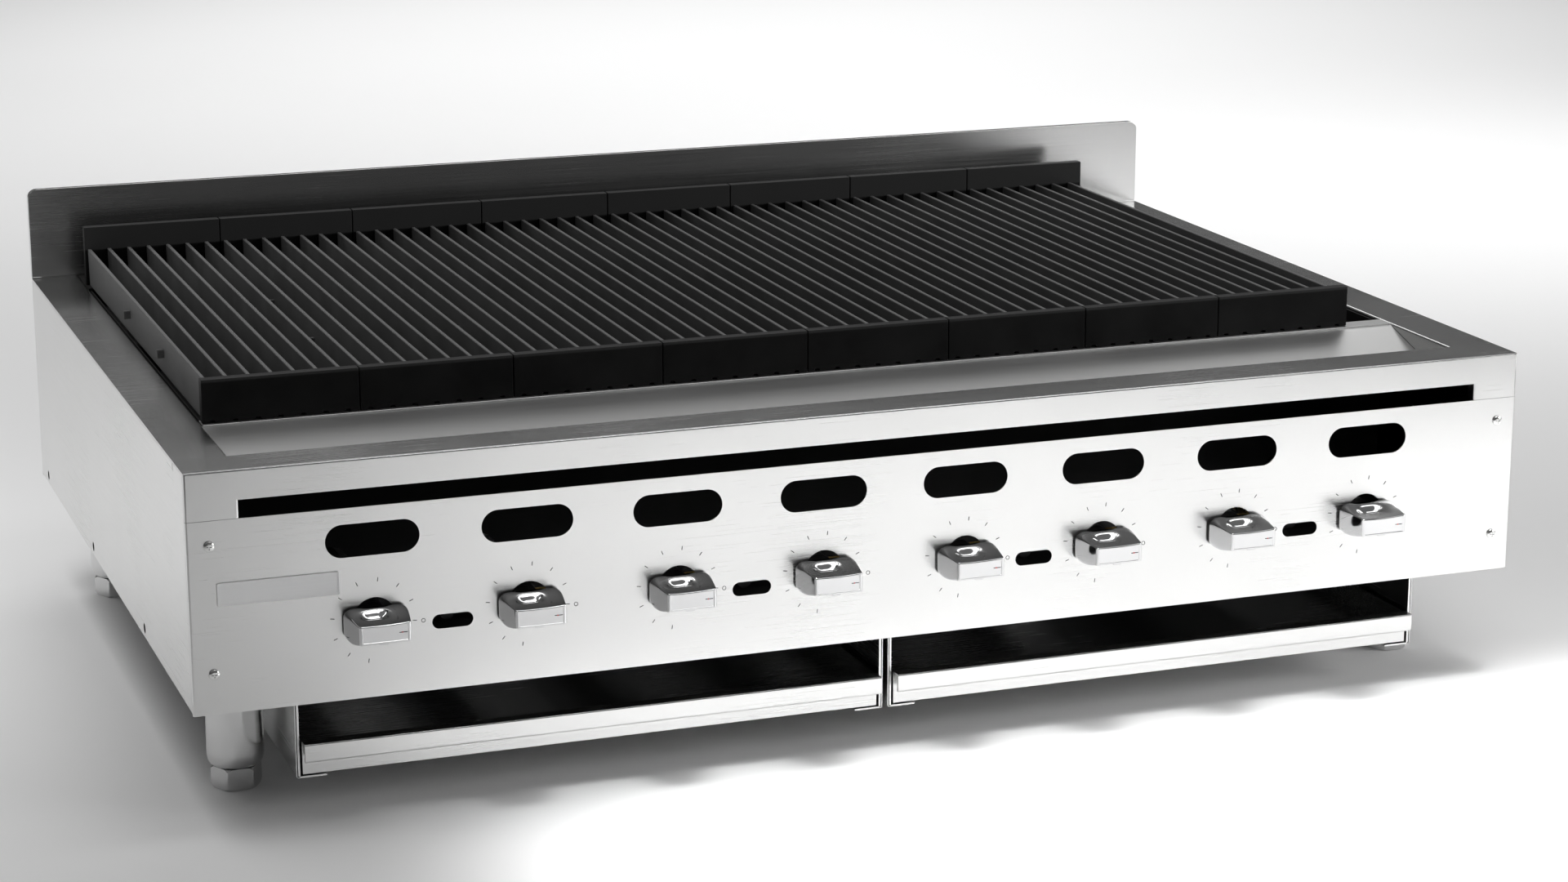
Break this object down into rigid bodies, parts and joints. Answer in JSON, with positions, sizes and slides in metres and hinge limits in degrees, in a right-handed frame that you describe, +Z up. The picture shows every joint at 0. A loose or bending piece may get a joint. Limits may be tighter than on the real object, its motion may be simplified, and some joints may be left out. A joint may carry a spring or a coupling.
{
  "type": "countertop gas charbroiler",
  "caption": "Low stainless-steel countertop gas charbroiler on short legs, with cast-iron top grates, a sloped grease trough, turn knobs, a backsplash and pull-out drawers.",
  "frame": {"origin": "on the floor, in the middle of the whole object's footprint", "axes": "+X to the viewer's right along the front, +Y from the front to the back, +Z up"},
  "size_m": [1.1876, 0.8464, 0.3871],
  "materials": {
    "stainless": "brushed",
    "inner_steel": "heat-darkened",
    "cast_iron": "matt seasoned",
    "chrome": "polished",
    "black_pipe": "satin",
    "brass": "plain",
    "plate": "blank, fine brushed"
  },
  "bodies": {
    "root": {"top_frame": "stainless", "control_panel": "stainless", "side_panel_left": "stainless", "side_panel_right": "stainless", "back_panel": "stainless", "backsplash": "stainless", "grease_trough": "stainless", "drawer_housing_left": "stainless", "drawer_housing_right": "stainless", "firebox_liner": "inner_steel", "burner_rest": "inner_steel", "rear_grate_rail": "inner_steel", "base_frame": "inner_steel", "burner_1": "inner_steel", "burner_2": "inner_steel", "burner_3": "inner_steel", "burner_4": "inner_steel", "burner_5": "inner_steel", "burner_6": "inner_steel", "burner_7": "inner_steel", "burner_8": "inner_steel", "radiant_1": "cast_iron", "radiant_2": "cast_iron", "radiant_3": "cast_iron", "radiant_4": "cast_iron", "radiant_5": "cast_iron", "radiant_6": "cast_iron", "radiant_7": "cast_iron", "radiant_8": "cast_iron", "leg_front_left": "chrome", "leg_front_right": "chrome", "leg_rear_left": "chrome", "leg_rear_right": "chrome", "gas_manifold": "black_pipe", "gas_supply_pipe": "black_pipe", "pilot_line": "brass", "nameplate": "plate"},
    "knob_1": {"knob_1": "chrome"},
    "knob_2": {"knob_2": "chrome"},
    "knob_3": {"knob_3": "chrome"},
    "knob_4": {"knob_4": "chrome"},
    "knob_5": {"knob_5": "chrome"},
    "knob_6": {"knob_6": "chrome"},
    "knob_7": {"knob_7": "chrome"},
    "knob_8": {"knob_8": "chrome"},
    "drawer_left": {"drawer_left": "stainless"},
    "drawer_right": {"drawer_right": "stainless"},
    "grate_1": {"grate_1": "cast_iron"},
    "grate_2": {"grate_2": "cast_iron"},
    "grate_3": {"grate_3": "cast_iron"},
    "grate_4": {"grate_4": "cast_iron"},
    "grate_5": {"grate_5": "cast_iron"},
    "grate_6": {"grate_6": "cast_iron"},
    "grate_7": {"grate_7": "cast_iron"},
    "grate_8": {"grate_8": "cast_iron"},
    "foot_front_left": {"foot_front_left": "chrome"},
    "foot_front_right": {"foot_front_right": "chrome"},
    "foot_rear_left": {"foot_rear_left": "chrome"},
    "foot_rear_right": {"foot_rear_right": "chrome"}
  },
  "joints": [
    {"name": "knob_1_turn", "type": "hinge", "parent": "root", "child": "knob_1", "pos_m": [-0.4459, -0.40575, 0.1651], "axis": [0, -1, 0], "range_deg": [0, 268]},
    {"name": "knob_2_turn", "type": "hinge", "parent": "root", "child": "knob_2", "pos_m": [-0.3185, -0.40575, 0.1651], "axis": [0, -1, 0], "range_deg": [0, 268]},
    {"name": "knob_3_turn", "type": "hinge", "parent": "root", "child": "knob_3", "pos_m": [-0.1911, -0.40575, 0.1651], "axis": [0, -1, 0], "range_deg": [0, 268]},
    {"name": "knob_4_turn", "type": "hinge", "parent": "root", "child": "knob_4", "pos_m": [-0.0637, -0.40575, 0.1651], "axis": [0, -1, 0], "range_deg": [0, 268]},
    {"name": "knob_5_turn", "type": "hinge", "parent": "root", "child": "knob_5", "pos_m": [0.0637, -0.40575, 0.1651], "axis": [0, -1, 0], "range_deg": [0, 268]},
    {"name": "knob_6_turn", "type": "hinge", "parent": "root", "child": "knob_6", "pos_m": [0.1911, -0.40575, 0.1651], "axis": [0, -1, 0], "range_deg": [0, 268]},
    {"name": "knob_7_turn", "type": "hinge", "parent": "root", "child": "knob_7", "pos_m": [0.3185, -0.40575, 0.1651], "axis": [0, -1, 0], "range_deg": [0, 268]},
    {"name": "knob_8_turn", "type": "hinge", "parent": "root", "child": "knob_8", "pos_m": [0.4459, -0.40575, 0.1651], "axis": [0, -1, 0], "range_deg": [0, 268]},
    {"name": "drawer_left_slide", "type": "slide", "parent": "root", "child": "drawer_left", "axis": [0, -1, 0], "range_m": [0, 0.56]},
    {"name": "drawer_right_slide", "type": "slide", "parent": "root", "child": "drawer_right", "axis": [0, -1, 0], "range_m": [0, 0.56]},
    {"name": "grate_1_lift", "type": "slide", "parent": "root", "child": "grate_1", "axis": [0, 0, 1], "range_m": [0, 0.15]},
    {"name": "grate_2_lift", "type": "slide", "parent": "root", "child": "grate_2", "axis": [0, 0, 1], "range_m": [0, 0.15]},
    {"name": "grate_3_lift", "type": "slide", "parent": "root", "child": "grate_3", "axis": [0, 0, 1], "range_m": [0, 0.15]},
    {"name": "grate_4_lift", "type": "slide", "parent": "root", "child": "grate_4", "axis": [0, 0, 1], "range_m": [0, 0.15]},
    {"name": "grate_5_lift", "type": "slide", "parent": "root", "child": "grate_5", "axis": [0, 0, 1], "range_m": [0, 0.15]},
    {"name": "grate_6_lift", "type": "slide", "parent": "root", "child": "grate_6", "axis": [0, 0, 1], "range_m": [0, 0.15]},
    {"name": "grate_7_lift", "type": "slide", "parent": "root", "child": "grate_7", "axis": [0, 0, 1], "range_m": [0, 0.15]},
    {"name": "grate_8_lift", "type": "slide", "parent": "root", "child": "grate_8", "axis": [0, 0, 1], "range_m": [0, 0.15]},
    {"name": "foot_front_left_adjust", "type": "slide", "parent": "root", "child": "foot_front_left", "axis": [0, 0, -1], "range_m": [0, 0.025]},
    {"name": "foot_front_right_adjust", "type": "slide", "parent": "root", "child": "foot_front_right", "axis": [0, 0, -1], "range_m": [0, 0.025]},
    {"name": "foot_rear_left_adjust", "type": "slide", "parent": "root", "child": "foot_rear_left", "axis": [0, 0, -1], "range_m": [0, 0.025]},
    {"name": "foot_rear_right_adjust", "type": "slide", "parent": "root", "child": "foot_rear_right", "axis": [0, 0, -1], "range_m": [0, 0.025]}
  ]
}
